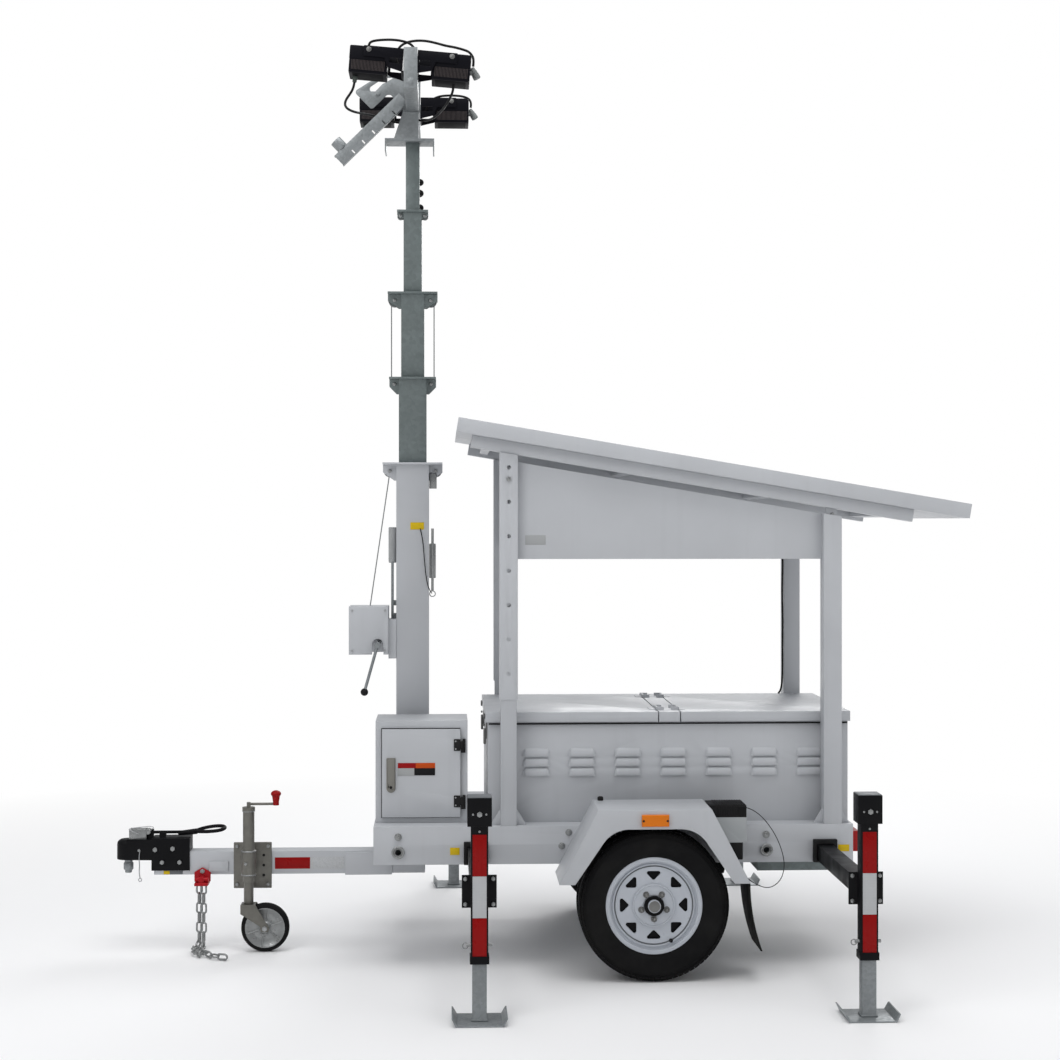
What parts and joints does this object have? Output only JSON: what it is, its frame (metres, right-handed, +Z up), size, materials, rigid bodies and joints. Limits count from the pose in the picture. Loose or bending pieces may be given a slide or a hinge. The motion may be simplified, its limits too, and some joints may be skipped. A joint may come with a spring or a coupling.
{
  "type": "mobile light tower",
  "caption": "Towable light tower trailer with a battery box under a tilted solar roof, sliding outriggers, and a telescopic mast that carries tilting floodlights.",
  "frame": {"origin": "on the ground, under the middle of the length from the coupler's nose to the roof's rear edge, on the centre line", "axes": "+Z up, -X towards the coupler, -Y towards the side with the control cabinet"},
  "size_m": [3.8377, 3, 4.1041],
  "materials": {
    "white_paint": "satin white paint on folded sheet and tube",
    "galvanised": "zinc coated, matt",
    "black_paint": "semi-gloss black paint",
    "black_plastic": "matt black plastic",
    "tyre_rubber": "black tyre rubber",
    "wheel_silver": "silver wheel paint",
    "solar_glass": "dark cells under glass with an aluminium frame",
    "amber_lens": "amber lens",
    "red_lens": "red lens",
    "flap_rubber": "black sheet rubber",
    "chock_plastic": "light grey moulded plastic",
    "lamp_housing": "black finned die casting",
    "lead_jacket": "black cable jacket",
    "bank_case": "black battery cases"
  },
  "bodies": {
    "chassis": {"axle": "black_paint", "battery_bank": "bank_case", "battery_box": "white_paint", "beam_collars": "black_plastic", "chassis_frame": "white_paint", "control_cabinet": "white_paint", "coupler": "black_paint", "cross_sleeves": "white_paint", "drawbar": "white_paint", "fenders": "white_paint", "jockey_clamp": "galvanised", "leaf_springs": "black_paint", "marker_lamps": "amber_lens", "mast_outer": "white_paint", "mudflaps": "flap_rubber", "roof_beams": "white_paint", "roof_posts": "white_paint", "roof_tray": "white_paint", "safety_chains": "galvanised", "shade_panels": "white_paint", "solar_panel": "solar_glass", "tail_lights": "red_lens", "wheel_chocks": "chock_plastic", "winch": "white_paint", "winch_cranks": "galvanised"},
    "wheel_near": {"tyre_near": "tyre_rubber", "rim_near": "wheel_silver"},
    "wheel_far": {"tyre_far": "tyre_rubber", "rim_far": "wheel_silver"},
    "jockey_slider": {"jockey_post": "galvanised"},
    "jockey_caster": {"jockey_fork": "galvanised"},
    "jockey_roller": {"jockey_wheel": "tyre_rubber"},
    "lid_front_leaf": {"lid_front": "white_paint"},
    "lid_rear_leaf": {"lid_rear": "white_paint"},
    "cabinet_door_leaf": {"cabinet_door": "white_paint"},
    "mast_stage_2": {"mast_section_2": "galvanised"},
    "mast_stage_3": {"mast_section_3": "galvanised"},
    "mast_stage_4": {"mast_section_4": "galvanised"},
    "mast_stage_5": {"mast_section_5": "galvanised", "mast_head": "galvanised", "lamp_bar": "galvanised", "lamp_brackets": "black_paint", "sensor_arm": "galvanised", "lead_front_low": "lead_jacket", "lead_front_top": "lead_jacket", "lead_rear_far": "lead_jacket", "lead_rear_low": "lead_jacket", "lead_rear_top": "lead_jacket"},
    "beam_front_near": {"outrigger_front_near": "black_paint"},
    "leg_front_near": {"foot_front_near": "galvanised"},
    "lamp_front_near_body": {"lamp_front_near": "lamp_housing"},
    "beam_rear_near": {"outrigger_rear_near": "black_paint"},
    "leg_rear_near": {"foot_rear_near": "galvanised"},
    "lamp_rear_near_body": {"lamp_rear_near": "lamp_housing"},
    "beam_front_far": {"outrigger_front_far": "black_paint"},
    "leg_front_far": {"foot_front_far": "galvanised"},
    "lamp_front_far_body": {"lamp_front_far": "lamp_housing"},
    "beam_rear_far": {"outrigger_rear_far": "black_paint"},
    "leg_rear_far": {"foot_rear_far": "galvanised"},
    "lamp_rear_far_body": {"lamp_rear_far": "lamp_housing"}
  },
  "joints": [
    {"name": "wheel_near_spin", "type": "hinge", "parent": "chassis", "child": "wheel_near", "pos_m": [0.485, -0.7255, 0.325], "axis": [0, 1, 0], "continuous": true},
    {"name": "wheel_far_spin", "type": "hinge", "parent": "chassis", "child": "wheel_far", "pos_m": [0.485, 0.7255, 0.325], "axis": [0, 1, 0], "continuous": true},
    {"name": "jockey_slide", "type": "slide", "parent": "chassis", "child": "jockey_slider", "axis": [0, 0, -1], "range_m": [-0.09, 0.12]},
    {"name": "jockey_swivel", "type": "hinge", "parent": "jockey_slider", "child": "jockey_caster", "pos_m": [-1.301, -0.14, 0.217], "axis": [0, 0, 1], "continuous": true},
    {"name": "jockey_spin", "type": "hinge", "parent": "jockey_caster", "child": "jockey_roller", "pos_m": [-1.225, -0.14, 0.11], "axis": [0, 1, 0], "continuous": true},
    {"name": "lid_front_hinge", "type": "hinge", "parent": "chassis", "child": "lid_front_leaf", "pos_m": [0.548, 0, 1.122], "axis": [0, 1, 0], "range_deg": [0, 80]},
    {"name": "lid_rear_hinge", "type": "hinge", "parent": "chassis", "child": "lid_rear_leaf", "pos_m": [0.641, 0, 1.122], "axis": [0, -1, 0], "range_deg": [0, 80]},
    {"name": "cabinet_door_hinge", "type": "hinge", "parent": "chassis", "child": "cabinet_door_leaf", "pos_m": [-0.327, -0.4383, 0.85], "axis": [0, 0, 1], "range_deg": [0, 110]},
    {"name": "mast_slide_2", "type": "slide", "parent": "chassis", "child": "mast_stage_2", "axis": [0, 0, 1], "range_m": [-0.3, 1]},
    {"name": "mast_slide_3", "type": "slide", "parent": "mast_stage_2", "child": "mast_stage_3", "axis": [0, 0, 1], "range_m": [-0.3, 1]},
    {"name": "mast_slide_4", "type": "slide", "parent": "mast_stage_3", "child": "mast_stage_4", "axis": [0, 0, 1], "range_m": [-0.3, 1]},
    {"name": "mast_slide_5", "type": "slide", "parent": "mast_stage_4", "child": "mast_stage_5", "axis": [0, 0, 1], "range_m": [-0.3, 1]},
    {"name": "beam_front_near_slide", "type": "slide", "parent": "chassis", "child": "beam_front_near", "axis": [0, -1, 0], "range_m": [-0.72, 0]},
    {"name": "leg_front_near_slide", "type": "slide", "parent": "beam_front_near", "child": "leg_front_near", "axis": [0, 0, -1], "range_m": [-0.17, 0.15]},
    {"name": "lamp_front_near_tilt", "type": "hinge", "parent": "mast_stage_5", "child": "lamp_front_near_body", "pos_m": [-0.73644, -0.4735, 4.02228], "axis": [0, 1, 0], "range_deg": [-10, 45], "deforming": ["lead_front_low", "lead_front_top"]},
    {"name": "beam_front_far_slide", "type": "slide", "parent": "chassis", "child": "beam_front_far", "axis": [0, 1, 0], "range_m": [-0.72, 0]},
    {"name": "leg_front_far_slide", "type": "slide", "parent": "beam_front_far", "child": "leg_front_far", "axis": [0, 0, -1], "range_m": [-0.17, 0.15]},
    {"name": "lamp_front_far_tilt", "type": "hinge", "parent": "mast_stage_5", "child": "lamp_front_far_body", "pos_m": [-0.737, 0.4735, 4.008], "axis": [0, 1, 0], "range_deg": [-10, 45]},
    {"name": "beam_rear_near_slide", "type": "slide", "parent": "chassis", "child": "beam_rear_near", "axis": [0, -1, 0], "range_m": [-0.72, 0]},
    {"name": "leg_rear_near_slide", "type": "slide", "parent": "beam_rear_near", "child": "leg_rear_near", "axis": [0, 0, -1], "range_m": [-0.17, 0.15]},
    {"name": "lamp_rear_near_tilt", "type": "hinge", "parent": "mast_stage_5", "child": "lamp_rear_near_body", "pos_m": [-0.37356, -0.4735, 3.99372], "axis": [0, -1, 0], "range_deg": [-10, 45], "deforming": ["lead_rear_low", "lead_rear_top"]},
    {"name": "beam_rear_far_slide", "type": "slide", "parent": "chassis", "child": "beam_rear_far", "axis": [0, 1, 0], "range_m": [-0.72, 0]},
    {"name": "leg_rear_far_slide", "type": "slide", "parent": "beam_rear_far", "child": "leg_rear_far", "axis": [0, 0, -1], "range_m": [-0.17, 0.15]},
    {"name": "lamp_rear_far_tilt", "type": "hinge", "parent": "mast_stage_5", "child": "lamp_rear_far_body", "pos_m": [-0.373, 0.4735, 4.008], "axis": [0, -1, 0], "range_deg": [-10, 45], "deforming": ["lead_rear_far"]}
  ],
  "couplings": [
    {"joint": "mast_slide_3", "follows": "mast_slide_2", "ratio": 1},
    {"joint": "mast_slide_4", "follows": "mast_slide_2", "ratio": 1},
    {"joint": "mast_slide_5", "follows": "mast_slide_2", "ratio": 1}
  ]
}
